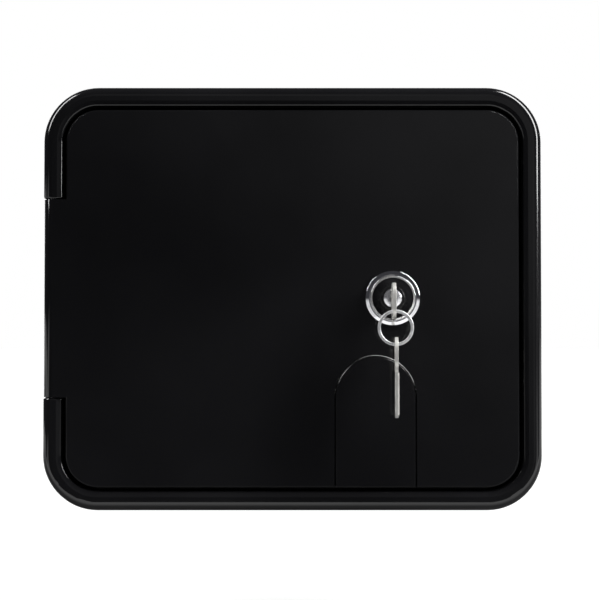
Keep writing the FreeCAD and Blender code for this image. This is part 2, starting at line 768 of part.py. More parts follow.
def make_plug():
    body = lock_body("lock_plug")
    radius = D.plug_diameter / 2
    top = face + D.plug_proud
    tail_end = cam_back + D.stack_clearance
    section = new_sketch(body, "PlugSketch", height=stop_front + 0.1)
    add_circle(section, 0, 0, radius)
    pad(body, section, top - stop_front - 0.1)
    tail = new_sketch(body, "TailSketch", height=tail_end)
    half = D.plug_tail_width / 2
    add_rectangle(tail, -half, half, -half, half)
    pad(body, tail, stop_front + 0.2 - tail_end)
    keyway = new_sketch(body, "KeywaySketch", height=top + 1)
    add_rectangle(keyway, -keyway_half_width(), keyway_half_width(), -keyway_half_height(),
                  keyway_half_height())
    pocket(body, keyway, top + 1 - key_tip_height())
    slot = new_sketch(body, "WaferSlotSketch", "XZ_Plane")
    first = face - D.wafer_first
    half_slot = D.wafer_thick / 2 + D.wafer_clearance
    wide = D.wafer_width / 2 + D.wafer_clearance
    add_rectangle(slot, -wide, wide, first - half_slot, first + half_slot)
    cut = pocket(body, slot, 2 * radius + 2, both_ways=True)
    repeat_down(body, cut, "WaferSlots")
    screw = new_sketch(body, "ScrewBoreSketch", height=cam_screw_seat())
    add_circle(screw, 0, 0, D.cam_screw_shank / 2 + D.seat_clearance)
    pocket(body, screw, D.cam_screw_depth + 0.3, reverse=True)
    return body


def key_tip_height():
    return key_seat - D.key_blade_length - D.keyway_tip_clearance


def cam_screw_seat():
    return cam_back - D.cam_washer_thick


def repeat_down(body, feature, name):
    pattern = repeat(body, feature, "Z_Axis", (D.wafer_count - 1) * D.wafer_pitch, D.wafer_count, name)
    pattern.Reversed = True
    doc.recompute()
    return pattern


def make_wafers():
    body = lock_body("lock_wafers")
    top = face - D.wafer_first + D.wafer_thick / 2
    section = new_sketch(body, "WaferSketch", height=top)
    half = D.wafer_width / 2
    tall = D.wafer_height / 2
    cut = D.wafer_corner
    add_polygon(section, [(cut - half, -tall), (half - cut, -tall), (half, cut - tall), (half, tall - cut),
                          (half - cut, tall), (cut - half, tall), (-half, tall - cut), (-half, cut - tall)])
    add_rectangle(section, -keyway_half_width(), keyway_half_width(), -keyway_half_height(),
                  keyway_half_height())
    plate = pad(body, section, D.wafer_thick, reverse=True)
    repeat_down(body, plate, "Wafers")
    return body


def make_stop_washer():
    body = lock_body("stop_washer")
    section = new_sketch(body, "StopSketch", height=stop_front)
    add_circle(section, 0, 0, D.stop_washer_diameter / 2)
    half = D.plug_tail_width / 2 + D.seat_clearance
    add_rectangle(section, -half, half, -half, half)
    pad(body, section, D.stop_washer_thick, reverse=True)
    return body


def cam_length():
    return collar_half_width - lock_centre - D.cam_end_gap


def make_cam():
    body = lock_body("lock_cam")
    hub = D.cam_hub_width / 2
    tip = D.cam_tip_width / 2
    end = cam_length() - tip
    section = new_sketch(body, "CamSketch", height=cam_front)
    add_circle(section, 0, 0, hub)
    pad(body, section, D.cam_thick, reverse=True)
    arm = new_sketch(body, "CamArmSketch", height=cam_front)
    add_polygon(arm, [(-hub, 0), (hub, 0), (tip, hub), (tip, end), (-tip, end), (-tip, hub)])
    pad(body, arm, D.cam_thick, reverse=True)
    nose = new_sketch(body, "CamNoseSketch", height=cam_front)
    add_circle(nose, 0, end, tip)
    pad(body, nose, D.cam_thick, reverse=True)
    hole = new_sketch(body, "CamHoleSketch", height=cam_front + 1)
    half = D.plug_tail_width / 2 + D.seat_clearance
    add_rectangle(hole, -half, half, -half, half)
    pocket(body, hole, D.cam_thick + 2)
    return body


def make_cam_washer():
    body = lock_body("cam_washer")
    section = new_sketch(body, "CamWasherSketch", height=cam_back)
    add_circle(section, 0, 0, D.cam_screw_head / 2 + 0.6)
    add_circle(section, 0, 0, D.cam_screw_shank / 2 + 0.2)
    pad(body, section, D.cam_washer_thick, reverse=True)
    return body


def make_cam_screw():
    body = lock_body("cam_screw")
    seat = cam_screw_seat()
    head = D.cam_screw_head / 2
    shank = D.cam_screw_shank / 2
    section = new_sketch(body, "CamScrewSketch", "XZ_Plane")
    bottom = seat - D.cam_screw_thick
    add_polygon(section, [(0, bottom), (head - 0.8, bottom), (head, bottom + 0.8), (head, seat),
                          (shank, seat), (shank, seat + D.cam_screw_depth), (0, seat + D.cam_screw_depth)])
    spin("Revolution", body, section)
    cross = new_sketch(body, "CrossSketch", height=bottom)
    add_polygon(cross, [(-2.2, -0.5), (-0.5, -0.5), (-0.5, -2.2), (0.5, -2.2), (0.5, -0.5), (2.2, -0.5),
                        (2.2, 0.5), (0.5, 0.5), (0.5, 2.2), (-0.5, 2.2), (-0.5, 0.5), (-2.2, 0.5)])
    pocket(body, cross, 1.4, reverse=True)
    return body


# Keys, each drawn flat: its own X runs from the bow's end to the blade's tip, its Z across the sheet

def draw_key(body):
    """A sheet key whose shoulder is at x = 0 and whose blade's middle line is y = 0."""
    low = -D.key_bow_offset - D.key_bow_width / 2
    high = low + D.key_bow_width
    bow = new_sketch(body, "BowSketch")
    add_rectangle(bow, -D.key_bow_length, 0, low, high, D.key_bow_corner)
    pad(body, bow, D.key_thick, both_ways=True)
    half = D.key_blade_width / 2
    tip = D.key_blade_length
    blade = new_sketch(body, "BladeSketch")
    add_polygon(blade, [(-2, -half), (tip - D.key_tip_length, -half), (tip, -half + D.key_tip_length),
                        (tip, half - 1), (tip - 1, half), (-2, half)])
    pad(body, blade, D.key_thick, both_ways=True)
    slot = new_sketch(body, "BowSlotSketch")
    slot_left = -D.key_bow_length + D.key_end_web
    middle = -D.key_bow_offset
    add_rectangle(slot, slot_left, slot_left + D.key_slot_width, middle - D.key_slot_length / 2,
                  middle + D.key_slot_length / 2, D.key_slot_width / 2 - 0.05)
    pocket(body, slot, D.key_thick + 2, both_ways=True)
    groove = new_sketch(body, "GrooveSketch", height=D.key_thick / 2)
    add_rectangle(groove, 0.5, tip + 1, 0.2, 0.2 + D.key_groove_width)
    pocket(body, groove, D.key_groove_depth)
    cuts = new_sketch(body, "BittingSketch")
    depths = (1.2, 0.6, 1.6, 0.9, 1.3)
    for index, depth in enumerate(depths):
        x = D.wafer_pitch * index + D.wafer_first + D.lock_bezel_height + D.key_seat_gap
        add_polygon(cuts, [(x - D.key_cut_width / 2, -half + depth), (x - D.key_cut_width, -half - 1),
                           (x + D.key_cut_width, -half - 1), (x + D.key_cut_width / 2, -half + depth)])
    pocket(body, cuts, D.key_thick + 2, both_ways=True)
    return body


def make_key_inserted():
    turn = Rotation(Vector(0, 1, 0), Vector(0, 0, 1), Vector(1, 0, 0), "XYZ")
    return draw_key(new_body("key_inserted", x=lock_centre, y=-key_seat, turn=turn))


def ring_forward():
    return key_seat + D.key_bow_length - D.key_end_web - D.key_slot_width / 2


def ring_top():
    """Level of the wire's middle where it passes through the inserted key's slot."""
    return D.ring_pivot_clearance - D.key_bow_offset - D.key_slot_length / 2


def ring_bottom():
    return ring_top() - 2 * D.ring_radius


def make_ring():
    level = ring_top() - D.ring_radius
    body = new_body("split_ring", x=lock_centre + D.ring_lean, y=-ring_forward(), z=level)
    section = new_sketch(body, "WireSketch", "XZ_Plane")
    low = -D.ring_pitch * D.ring_turns / 2 - D.ring_wire_thick / 2
    add_rectangle(section, D.ring_radius - D.ring_wire_width / 2, D.ring_radius + D.ring_wire_width / 2,
                  low, low + D.ring_wire_thick)
    coil = body.newObject("PartDesign::AdditiveHelix", "WireCoil")
    coil.Profile = section
    coil.ReferenceAxis = (section, ["V_Axis"])
    coil.Mode = "pitch-turns-angle"
    coil.setExpression("Pitch", D.ring_pitch.text)
    coil.setExpression("Turns", D.ring_turns.text)
    settle(body, coil, 0, True)
    return body


def make_key_spare():
    turn = Rotation(Vector(0, 0, -1), Vector(0, -1, 0), Vector(-1, 0, 0), "XYZ")
    top = ring_bottom() + D.ring_pivot_clearance + D.key_end_web
    body = new_body("key_spare", x=lock_centre + D.spare_lean,
                    y=-D.key_bow_offset - D.spare_shift - ring_forward(),
                    z=top - D.key_bow_length, turn=turn)
    return draw_key(body)


PIECES = (make_frame, make_hinge_pin, make_door, make_door_seal, make_flap, make_bezel, make_housing,
          make_lock_washer, make_lock_nut, make_plug, make_wafers, make_stop_washer, make_cam,
          make_cam_washer, make_cam_screw, make_key_inserted, make_ring, make_key_spare)


def check_and_write(bodies):
    doc.recompute()
    for item in doc.Objects:
        if "Invalid" in item.State or "Error" in item.State:
            raise RuntimeError("%s is %s" % (item.Name, item.State))
    for body in bodies:
        if body.Shape.isNull() or not body.Shape.isValid() or not body.Shape.Solids:
            raise RuntimeError("%s has no valid solid" % body.Label)
    os.makedirs("parts", exist_ok=True)
    for body in bodies:
        body.Shape.exportStep("parts/%s.step" % body.Label)
        box = body.Shape.BoundBox
        print("%-14s solids %d volume %10.2f  x %8.2f %8.2f  y %8.2f %8.2f  z %8.2f %8.2f" % (
            body.Label, len(body.Shape.Solids), body.Shape.Volume, box.XMin, box.XMax, box.YMin,
            box.YMax, box.ZMin, box.ZMax))


check_and_write([make() for make in PIECES])
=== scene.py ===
"""Finish and studio for a caravan power cord hatch: black moulding, cam lock and two keys."""

import math

import bmesh
import bpy
from bpy.props import FloatProperty, FloatVectorProperty, IntProperty, PointerProperty
from bpy.types import Operator, Panel, PropertyGroup
from mathutils import Matrix, Vector


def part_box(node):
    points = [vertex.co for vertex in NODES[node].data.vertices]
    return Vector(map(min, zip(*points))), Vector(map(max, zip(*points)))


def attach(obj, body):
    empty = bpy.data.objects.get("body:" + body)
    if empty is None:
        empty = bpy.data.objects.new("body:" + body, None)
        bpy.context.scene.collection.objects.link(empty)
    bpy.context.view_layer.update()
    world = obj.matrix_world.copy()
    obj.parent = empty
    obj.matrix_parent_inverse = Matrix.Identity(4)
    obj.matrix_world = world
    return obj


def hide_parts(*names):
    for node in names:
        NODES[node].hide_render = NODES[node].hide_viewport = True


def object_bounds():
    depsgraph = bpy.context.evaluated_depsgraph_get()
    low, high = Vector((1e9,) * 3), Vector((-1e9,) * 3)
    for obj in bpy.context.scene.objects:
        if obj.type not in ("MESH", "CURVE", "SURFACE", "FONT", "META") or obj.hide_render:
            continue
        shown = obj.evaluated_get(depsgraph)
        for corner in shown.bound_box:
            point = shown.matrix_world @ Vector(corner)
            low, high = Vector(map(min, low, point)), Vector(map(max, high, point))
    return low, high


bl_info = {
    "name": "Power cord hatch",
    "version": (1, 0, 0),
    "blender": (4, 5, 0),
    "location": "3D View > Sidebar > Hatch",
    "description": "Builds the finish and the studio around a caravan power cord hatch",
    "category": "Object",
}

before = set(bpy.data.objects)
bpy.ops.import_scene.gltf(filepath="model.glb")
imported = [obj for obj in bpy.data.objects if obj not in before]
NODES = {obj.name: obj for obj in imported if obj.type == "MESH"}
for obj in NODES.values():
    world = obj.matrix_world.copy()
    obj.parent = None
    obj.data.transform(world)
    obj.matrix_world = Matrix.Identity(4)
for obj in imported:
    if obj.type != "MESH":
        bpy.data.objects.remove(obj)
CAD_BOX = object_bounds()

# Points nearer than this are one point
SAME_POINT = 0.000001
# The solids' facets meet their neighbours within this distance, and lie flat within this angle
SEAM = 0.000002
FLAT_ANGLE = math.radians(0.5)
# Shares of the noise texture's range that hold most of its values
NOISE_LOW, NOISE_HIGH = 0.35, 0.65


# What a user would change

class HatchSizes(PropertyGroup):
    """Lengths of the added detail."""

    shell_round: FloatProperty(
        name="Shell edge round", description="Round on the moulded edges of the door",
        default=0.0005, unit="LENGTH")
    frame_round: FloatProperty(
        name="Frame edge round", description="Round on the edges of the frame's rim",
        default=0.0009, unit="LENGTH")
    flap_radius: FloatProperty(
        name="Flap radius", description="Radius of the cord flap's arch",
        default=0.0179, unit="LENGTH")
    flap_lip: FloatProperty(
        name="Flap lip", description="How far the lip at the flap's back edge stands out",
        default=0.00034, unit="LENGTH")
    metal_round: FloatProperty(
        name="Metal edge round",
        description="Round on the edges of the washers, cam, nut and screw",
        default=0.00015, unit="LENGTH")
    key_round: FloatProperty(
        name="Key edge round", description="Round that stamping and wear leave on the keys' edges",
        default=0.0003, unit="LENGTH")
    key_thick: FloatProperty(
        name="Key thickness", description="Thickness of the keys' sheet",
        default=0.00145, unit="LENGTH")
    key_corner: FloatProperty(
        name="Key corner", description="Radius of the four corners of a key's bow",
        default=0.006, unit="LENGTH")
    key_lean: FloatProperty(
        name="Key lean", description="How far the spare key hangs turned towards the hinge",
        default=math.radians(2.4), subtype="ANGLE")
    keyway_width: FloatProperty(
        name="Keyway width", description="Width of the slot in the plug",
        default=0.00214, unit="LENGTH")
    plug_crown: FloatProperty(
        name="Plug crown", description="How far the plug's rounded front stands out",
        default=0.0013, unit="LENGTH")
    thread_pitch: FloatProperty(
        name="Barrel thread pitch",
        description="Distance between two turns of the lock barrel's thread",
        default=0.0013, unit="LENGTH")
    thread_depth: FloatProperty(
        name="Barrel thread depth", description="From the thread's crest to its root",
        default=0.0006, unit="LENGTH")
    wire_thick: FloatProperty(
        name="Ring wire thickness", description="Thickness of the split ring's flat wire",
        default=0.00078, unit="LENGTH")
    ring_gap: FloatProperty(
        name="Ring coil gap", description="Space between the two coils of the split ring",
        default=0.00006, unit="LENGTH")
    lathe_steps: IntProperty(
        name="Steps round a turned piece",
        description="Facets round the bezel and the lock housing",
        default=128)
    camera_distance: FloatProperty(
        name="Camera distance", description="From the wall's face to the camera",
        default=0.75, unit="LENGTH")
    camera_drop: FloatProperty(
        name="Camera drop", description="How far the camera stands below the middle of the hatch",
        default=0.0205, unit="LENGTH")
    floor_front: FloatProperty(
        name="Floor front", description="How far the floor reaches in front of the wall's face",
        default=0.19, unit="LENGTH")
    floor_drop: FloatProperty(
        name="Floor drop", description="Gap between the hatch's lower edge and the floor",
        default=0.045, unit="LENGTH")


class HatchColours(PropertyGroup):
    """Colours of the finishes."""

    shell: FloatVectorProperty(
        name="Shell", description="Black moulded plastic", subtype="COLOR", size=3,
        default=(0.0042, 0.0042, 0.0046))
    foam: FloatVectorProperty(
        name="Seal foam",
        description="Closed cell foam of the door's seal", subtype="COLOR", size=3,
        default=(0.022, 0.022, 0.023))
    lock_face: FloatVectorProperty(
        name="Lock face", description="Black coat on the lock's housing", subtype="COLOR", size=3,
        default=(0.005, 0.005, 0.0055))
    chrome: FloatVectorProperty(
        name="Chrome", description="Plating of the bezel and the plug", subtype="COLOR", size=3,
        default=(0.80, 0.80, 0.82))
    zinc: FloatVectorProperty(
        name="Zinc",
        description="Zinc plating of the cam, nut and washers", subtype="COLOR", size=3,
        default=(0.56, 0.57, 0.59))
    steel: FloatVectorProperty(
        name="Steel",
        description="Bare spring steel of the ring and the hinge pin", subtype="COLOR", size=3,
        default=(0.88, 0.88, 0.89))
    brass: FloatVectorProperty(
        name="Brass", description="Wafers of the lock", subtype="COLOR", size=3,
        default=(0.62, 0.47, 0.20))
    nickel: FloatVectorProperty(
        name="Nickel", description="Plating of the keys", subtype="COLOR", size=3,
        default=(0.85, 0.84, 0.80))


def sizes():
    return bpy.context.scene.hatch_sizes


def colours():
    return bpy.context.scene.hatch_colours


# Helpers for the nodes of materials and of the surroundings

def add_node(tree, kind, **settings):
    """A new node of this kind, laid out seven to a row."""
    node = tree.nodes.new(kind)
    row, column = divmod(len(tree.nodes), 7)
    node.location = (-220 * column - 300, 260 * row)
    for key, value in settings.items():
        setattr(node, key, value)
    return node


def ramp(tree, source, start, end, low=0.0, high=1.0):
    """The low value at the start value of the source and the high one at its end value."""
    node = add_node(tree, "ShaderNodeMapRange")
    for name, value in (("From Min", start), ("From Max", end), ("To Min", low),
                        ("To Max", high)):
        node.inputs[name].default_value = value
    tree.links.new(source, node.inputs["Value"])
    return node.outputs["Result"]


def maths(tree, operation, *terms):
    """A Math node whose terms are other nodes' outputs or plain numbers."""
    node = add_node(tree, "ShaderNodeMath", operation=operation)
    for socket, term in zip(node.inputs, terms):
        if isinstance(term, float):
            socket.default_value = term
        else:
            tree.links.new(term, socket)
    return node.outputs[0]


def axes(tree, source):
    """The three parts of a direction or a place."""
    node = add_node(tree, "ShaderNodeSeparateXYZ")
    tree.links.new(source, node.inputs[0])
    return node.outputs["X"], node.outputs["Y"], node.outputs["Z"]


# Finishes

class Finish:
    """A material with its shader, its place coordinates and short ways to add detail."""

    def __init__(self, name, colour, metallic=0.0):
        self.material = bpy.data.materials.new(name)
        self.material.use_nodes = True
        self.tree = self.material.node_tree
        self.shader = self.tree.nodes["Principled BSDF"]
        self.colour = tuple(colour)
        self.shader.inputs["Base Color"].default_value = (*colour, 1)
        self.shader.inputs["Metallic"].default_value = metallic
        self.place = self.add("ShaderNodeTexCoord").outputs["Object"]
        self.relief = None

    def add(self, kind, **settings):
        return add_node(self.tree, kind, **settings)

    def join(self, source, target):
        self.tree.links.new(source, target)

    def stretched(self, stretch):
        """Place coordinates with each axis multiplied, for grain that runs one way."""
        node = self.add("ShaderNodeMapping", vector_type="POINT")
        node.inputs["Scale"].default_value = stretch
        self.join(self.place, node.inputs["Vector"])
        return node.outputs["Vector"]

    def noise(self, scale, detail, stretch=None):
        node = self.add("ShaderNodeTexNoise")
        node.inputs["Scale"].default_value = scale
        node.inputs["Detail"].default_value = detail
        self.join(self.place if stretch is None else self.stretched(stretch), node.inputs["Vector"])
        return node.outputs["Fac"]

    def cells(self, scale):
        node = self.add("ShaderNodeTexVoronoi")
        node.inputs["Scale"].default_value = scale
        self.join(self.place, node.inputs["Vector"])
        return node.outputs["Distance"]

    def spread(self, source, low, high, start=NOISE_LOW, end=NOISE_HIGH):
        """The source between start and end becomes a value from low to high."""
        return ramp(self.tree, source, start, end, low, high)

    def rough(self, source, extra=None):
        """The roughness, with a second source laid over it where one is given."""
        if extra is not None:
            source = maths(self.tree, "ADD", source, extra)
        self.join(source, self.shader.inputs["Roughness"])

    def mottle(self, other, scale, detail, start, end):
        """The base colour turns towards the other colour in soft patches of noise."""
        source = self.spread(self.noise(scale, detail), 0.0, 1.0, start, end)
        node = self.add("ShaderNodeMix", data_type="RGBA")
        node.inputs[6].default_value = (*self.colour, 1)
        node.inputs[7].default_value = (*other, 1)
        self.join(source, node.inputs[0])
        self.join(node.outputs[2], self.shader.inputs["Base Color"])

    def bump(self, source, depth, strength):
        """Relief of the given depth in metres, laid over any relief already there."""
        node = self.add("ShaderNodeBump")
        node.inputs["Strength"].default_value = strength
        node.inputs["Distance"].default_value = depth
        self.join(source, node.inputs["Height"])
        if self.relief is not None:
            self.join(self.relief, node.inputs["Normal"])
        self.relief = node.outputs["Normal"]
        self.join(self.relief, self.shader.inputs["Normal"])


def darker(colour, share):
    return tuple(channel * share for channel in colour)


def shell_finish():
    """Glossy black plastic: moulding ripple, fine orange peel, handling smudges and hairlines, and
    lighter patches in the colour that are painted reflection, partly handling smudge.
    """
    look = Finish("black_gloss_plastic", colours().shell)
    smudge = look.spread(look.noise(13.0, 4.0), 0.075, 0.16, 0.38, 0.68)
    hairline = look.spread(look.noise(260.0, 2.0, (1.0, 1.0, 0.06)), 0.0, 0.03, 0.6, 0.75)
    look.rough(smudge, hairline)
    # Lighter soft patches in the base colour: painted reflection of soft light on the gloss, partly
    # handling smudge
    look.mottle(darker(look.colour, 2.6), 9.0, 3.0, 0.35, 0.7)
    look.bump(look.noise(46.0, 1.0), 0.00016, 0.35)
    look.bump(look.noise(1500.0, 2.0), 0.000006, 0.5)
    return look.material


def foam_finish():
    """Closed cell foam: open pores cut through at the skin, and a dusty bloom."""
    look = Finish("seal_foam", colours().foam)
    look.bump(look.cells(2600.0), 0.00022, 0.8)
    look.bump(look.noise(700.0, 4.0), 0.00012, 0.6)
    look.mottle(darker(look.colour, 2.1), 90.0, 5.0, 0.4, 0.7)
    look.rough(look.spread(look.cells(2600.0), 0.82, 0.97, 0.0, 0.6))
    return look.material


def lock_face_finish():
    """Black electro coat over a cast housing: nearly smooth, a little pulled at the edges."""
    look = Finish("lock_black_coat", colours().lock_face)
    look.rough(look.spread(look.noise(420.0, 3.0), 0.16, 0.3))
    look.bump(look.noise(2200.0, 3.0), 0.00001, 0.6)
    look.mottle(darker(look.colour, 2.4), 150.0, 4.0, 0.45, 0.75)
    return look.material


def chrome_finish(name):
    """Bright plating: a near mirror with polishing haze and faint pits."""
    look = Finish(name, colours().chrome, metallic=1.0)
    haze = look.spread(look.noise(500.0, 4.0), 0.035, 0.11)
    rub = look.spread(look.noise(2600.0, 2.0, (1.0, 1.0, 0.12)), 0.0, 0.05, 0.55, 0.75)
    look.rough(haze, rub)
    look.mottle(darker(look.colour, 0.82), 900.0, 4.0, 0.5, 0.8)
    look.bump(look.cells(3800.0), 0.000004, 0.4)
    return look.material


def satin_finish():
    """Cast plug with satin plating: soft grain, a little worn where keys rub it."""
    look = Finish("plug_chrome", colours().chrome, metallic=0.82)
    grain = look.spread(look.noise(1900.0, 3.0), 0.13, 0.24)
    worn = look.spread(look.noise(420.0, 3.0), 0.0, 0.08, 0.5, 0.75)
    look.rough(grain, worn)
    look.mottle(darker(look.colour, 0.85), 700.0, 4.0, 0.5, 0.8)
    look.bump(look.noise(3400.0, 3.0), 0.000008, 0.5)
    return look.material


def zinc_finish():
    """Zinc plated sheet: crystal patches, a pale passivation tint and rolling lines."""
    look = Finish("zinc_plate", colours().zinc, metallic=1.0)
    passivation = (0.55, 0.53, 0.46)
    patches = look.spread(look.cells(620.0), 0.26, 0.44, 0.1, 0.7)
    rolled = look.spread(look.noise(3000.0, 2.0, (1.0, 1.0, 0.03)), 0.0, 0.1, 0.45, 0.7)
    look.rough(patches, rolled)
    look.mottle(passivation, 130.0, 4.0, 0.4, 0.7)
    look.bump(look.noise(2400.0, 3.0), 0.000012, 0.5)
    return look.material


def steel_finish(name, along, metallic):
    """Drawn steel: fine lines the way that it was drawn, with a little handling haze."""
    look = Finish(name, colours().steel, metallic=metallic)
    lines = look.spread(look.noise(3200.0, 2.0, along), 0.0, 0.12, 0.4, 0.7)
    haze = look.spread(look.noise(260.0, 4.0), 0.22, 0.34)
    look.rough(lines, haze)
    look.mottle(darker(look.colour, 0.72), 400.0, 4.0, 0.5, 0.8)
    look.bump(look.noise(3200.0, 2.0, along), 0.000006, 0.5)
    return look.material


def brass_finish():
    """Stamped brass: shear lines across the edge and a dull oxide in patches."""
    look = Finish("stamped_brass", colours().brass, metallic=1.0)
    sheared = (1.0, 0.1, 1.0)
    oxide = (0.38, 0.27, 0.11)
    look.rough(look.spread(look.noise(1800.0, 3.0, sheared), 0.2, 0.4))
    look.mottle(oxide, 500.0, 4.0, 0.45, 0.75)
    look.bump(look.noise(2600.0, 2.0, sheared), 0.000008, 0.5)
    return look.material


def nickel_finish():
    """Nickel plated key stock: rubbing lines along the blade, and plating dulled in patches."""
    look = Finish("key_nickel", colours().nickel, metallic=0.62)
    along_blade = (1.0, 0.2, 0.05)
    rubbed = look.spread(look.noise(2800.0, 2.0, along_blade), 0.0, 0.12, 0.45, 0.7)
    worn = look.spread(look.noise(330.0, 4.0), 0.36, 0.5)
    look.rough(rubbed, worn)
    look.mottle(darker(look.colour, 0.8), 240.0, 5.0, 0.5, 0.8)
    look.bump(look.noise(2800.0, 2.0, along_blade), 0.00001, 0.6)
    look.bump(look.noise(900.0, 3.0), 0.00002, 0.3)
    return look.material


def paint(piece, material):
    piece.data.materials.clear()
    piece.data.materials.append(material)


# Helpers for the shapes

def round_edges(piece, width, segments, angle):
    """A bevel on the edges that bend by more than the angle, in degrees."""
    bevel = piece.modifiers.new("Edge round", "BEVEL")
    bevel.width = width
    bevel.segments = segments
    bevel.limit_method = "ANGLE"
    bevel.angle_limit = math.radians(angle)
    bevel.harden_normals = True
    return bevel


def refine(node, width, segments=3, angle=28.0, clamp=True):
    """Round the hard edges of a CAD node with modifiers, its mesh unchanged."""
    piece = NODES[node]
    weld = piece.modifiers.new("Weld", "WELD")
    weld.merge_threshold = SEAM
    merge = piece.modifiers.new("Flat faces", "DECIMATE")
    merge.decimate_type = "DISSOLVE"
    merge.angle_limit = FLAT_ANGLE
    round_edges(piece, width, segments, angle).use_clamp_overlap = clamp
    return piece


def new_piece(name, points, faces, material, body, node, crease=40.0):
    """A mesh piece that rides on a body and, where a node is named, stands for that CAD node."""
    mesh = bpy.data.meshes.new(name)
    mesh.from_pydata(points, [], faces)
    edit = bmesh.new()
    edit.from_mesh(mesh)
    bmesh.ops.remove_doubles(edit, verts=edit.verts, dist=SAME_POINT)
    bmesh.ops.recalc_face_normals(edit, faces=edit.faces)
    edit.to_mesh(mesh)
    edit.free()
    mesh.shade_smooth()
    mesh.set_sharp_from_angle(angle=math.radians(crease))
    mesh.materials.append(material)
    piece = bpy.data.objects.new(name, mesh)
    bpy.context.scene.collection.objects.link(piece)
    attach(piece, body)
    if node:
        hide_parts(node)
    return piece


def middle_of(node):
    low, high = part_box(node)
    return (Vector(low) + Vector(high)) / 2


def span_of(node):
    low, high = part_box(node)
    return Vector(high) - Vector(low)


def rings_to_faces(rows, count, closed_rows=False):
    """Quads between rings of points that all have the same count."""
    faces = []
    for row in range(rows if closed_rows else rows - 1):
        following = (row + 1) % rows
        for step in range(count):
            after = (step + 1) % count
            faces.append((row * count + step, row * count + after,
                          following * count + after, following * count + step))
    return faces


def tube_faces(rows, count):
    """The faces of a tube of rings, with one face at each end."""
    return rings_to_faces(rows, count) + [tuple(range(count)),
                                          tuple(range((rows - 1) * count, rows * count))]


def arc(centre, radius, start, end, steps):
    """Points of an arc in a plane, angles in degrees."""
    points = []
    for step in range(steps + 1):
        angle = math.radians(start + (end - start) * step / steps)
        points.append((centre[0] + radius * math.cos(angle), centre[1] + radius * math.sin(angle)))
    return points


def straight(start, end, steps):
    """Evenly spaced points from start to end in a plane."""
    return [(start[0] + (end[0] - start[0]) * step / steps,
             start[1] + (end[1] - start[1]) * step / steps)
            for step in range(steps + 1)]


def turned(profile, centre, steps):
    """A closed profile of (radius, distance along Y) turned about the lock's axis."""
    points = []
    for radius, along in profile:
        for step in range(steps):
            angle = 2 * math.pi * step / steps
            points.append((centre.x + radius * math.cos(angle), along,
                           centre.z + radius * math.sin(angle)))
    return points, rings_to_faces(len(profile), steps, closed_rows=True)


# Shells

class HATCH_OT_frame(Operator):
    """Finish the frame moulding: its rims softly rounded, its black gloss."""

    bl_idname = "hatch.frame"
    bl_label = "Frame"

    def execute(self, context):
        piece = refine("frame", sizes().frame_round, segments=4, angle=26.0, clamp=False)
        paint(piece, shell_finish())
        return {"FINISHED"}


class HATCH_OT_door(Operator):
    """Finish the door and the cord flap as the same moulding."""

    bl_idname = "hatch.door"
    bl_label = "Door and cord flap"

    # The flap's round as a share of the door's
    flap_round = 0.6
    # The rebate strips: from the pivots down to the stops, behind the flap's back and sides
    rebate_top = -0.0424
    rebate_foot = -0.0562
    rebate_clear = 0.00025
    rebate_thick = 0.0006
    rebate_cover = 0.0005
    rebate_reach = 0.0013
    rebate_edge = 0.0004
    rebate_bevel = 0.0003
    # The lip: its thickness, its root in the flap, its arc in degrees and how fast it swells
    lip_thick = 0.0003
    lip_root = 0.0004
    lip_start = 6
    lip_turn = 168
    lip_steps = 64
    lip_swell = 16.0

    def execute(self, context):
        material = shell_finish()
        paint(refine("door", sizes().shell_round), material)
        paint(refine("cord_flap", sizes().shell_round * self.flap_round), material)
        self.add_flap_lip(material)
        self.add_mouth_rebates(material)
        return {"FINISHED"}

    def add_mouth_rebates(self, material):
        """The strip behind each side of the flap, from its pivot down to the stops."""
        low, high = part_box("cord_flap")
        centre = (low.x + high.x) / 2
        front = high.y + self.rebate_clear
        back = front + self.rebate_thick
        for side, name in ((-1, "rebate_left"), (1, "rebate_right")):
            near = centre + side * (sizes().flap_radius - self.rebate_cover)
            far = centre + side * (sizes().flap_radius + self.rebate_reach)
            section = [(near, front), (far, front), (far, back),
                       (near + side * self.rebate_bevel, back),
                       (near, front + self.rebate_edge)]
            points = [(x, y, level) for level in (self.rebate_foot, self.rebate_top)
                      for x, y in section]
            faces = tube_faces(2, len(section))
            new_piece(name, points, faces, material, "door", None, 20.0)

    def add_flap_lip(self, material):
        """The feather edge at the flap's back that closes the gap round it to light and dust."""
        low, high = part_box("cord_flap")
        centre = (low.x + high.x) / 2
        radius = sizes().flap_radius
        spring = high.z - radius
        front, back = high.y - self.lip_thick, high.y
        root = -self.lip_root
        steps = self.lip_steps
        points = []
        for step in range(steps + 1):
            angle = math.radians(self.lip_start + self.lip_turn * step / steps)
            swell = sizes().flap_lip * min(1.0, self.lip_swell * step / steps,
                                           self.lip_swell * (steps - step) / steps)
            for reach, along in ((root, front), (swell, front), (swell, back), (root, back)):
                points.append((centre + (radius + reach) * math.cos(angle), along,
                               spring + (radius + reach) * math.sin(angle)))
        faces = tube_faces(steps + 1, 4)
        new_piece("flap_lip", points, faces, material, "flap", None, 30.0)


class HATCH_OT_hinge_pin(Operator):
    """Finish the steel pin of the door's hinge."""

    bl_idname = "hatch.hinge_pin"
    bl_label = "Hinge pin"

    def execute(self, context):
        along_pin = (1.0, 1.0, 0.03)
        paint(refine("hinge_pin", sizes().metal_round), steel_finish("pin_steel", along_pin, 1.0))
        return {"FINISHED"}


